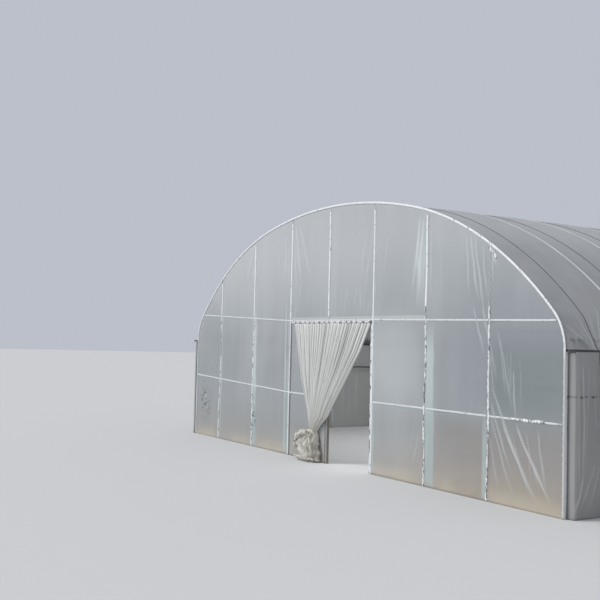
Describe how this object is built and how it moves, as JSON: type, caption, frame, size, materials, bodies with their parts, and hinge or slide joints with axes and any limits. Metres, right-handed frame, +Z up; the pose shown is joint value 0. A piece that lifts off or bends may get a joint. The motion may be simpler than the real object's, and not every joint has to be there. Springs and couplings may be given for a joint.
{
  "type": "polytunnel greenhouse",
  "caption": "Walk-in growing tunnel of bent steel tube hoops under clear film, with framed gables, a doorway with a tied-back film curtain and press cords over the roof.",
  "frame": {"origin": "on the ground at the middle of the footprint", "axes": "+X across the tunnel to the right as seen from outside the door gable, +Y along the tunnel from the door gable to the rear, +Z up"},
  "size_m": [8.414, 5.7, 3.3631],
  "materials": {
    "galvanised_tube": "dull galvanised, lightly weathered",
    "lock_channel": "galvanised strip, brighter than the tube",
    "film": "clear plastic film, dusty and creased",
    "curtain_film": "milky plastic film, gathered in fine pleats",
    "cord": "black woven plastic cord",
    "stake": "rusty bar"
  },
  "bodies": {
    "root": {"door_curtain": "curtain_film", "edge_tube_left": "galvanised_tube", "edge_tube_right": "galvanised_tube", "front_arch_channel": "lock_channel", "front_door_posts": "galvanised_tube", "front_film_left": "film", "front_film_over_door": "film", "front_film_right": "film", "front_lintel": "galvanised_tube", "front_lintel_channel": "lock_channel", "front_mid_rail_channels": "lock_channel", "front_mid_rail_left": "galvanised_tube", "front_mid_rail_right": "galvanised_tube", "front_post_channels": "lock_channel", "front_posts_left": "galvanised_tube", "front_posts_right": "galvanised_tube", "haunch_purlin_left": "galvanised_tube", "haunch_purlin_right": "galvanised_tube", "hoop_1": "galvanised_tube", "hoop_2": "galvanised_tube", "hoop_3": "galvanised_tube", "hoop_4": "galvanised_tube", "hoop_5": "galvanised_tube", "hoop_6": "galvanised_tube", "hoop_7": "galvanised_tube", "mid_channel_left": "lock_channel", "mid_channel_right": "lock_channel", "press_cord_1": "cord", "press_cord_2": "cord", "press_cord_3": "cord", "press_cord_4": "cord", "press_cord_5": "cord", "press_cord_6": "cord", "rear_arch_channel": "lock_channel", "rear_film": "film", "rear_lintel": "galvanised_tube", "rear_mid_rail": "galvanised_tube", "rear_posts": "galvanised_tube", "ridge_purlin": "galvanised_tube", "roof_film": "film", "side_channel_left": "lock_channel", "side_channel_right": "lock_channel", "side_film_left": "film", "side_film_right": "film", "stakes_left": "stake", "stakes_right": "stake"}
  },
  "joints": []
}
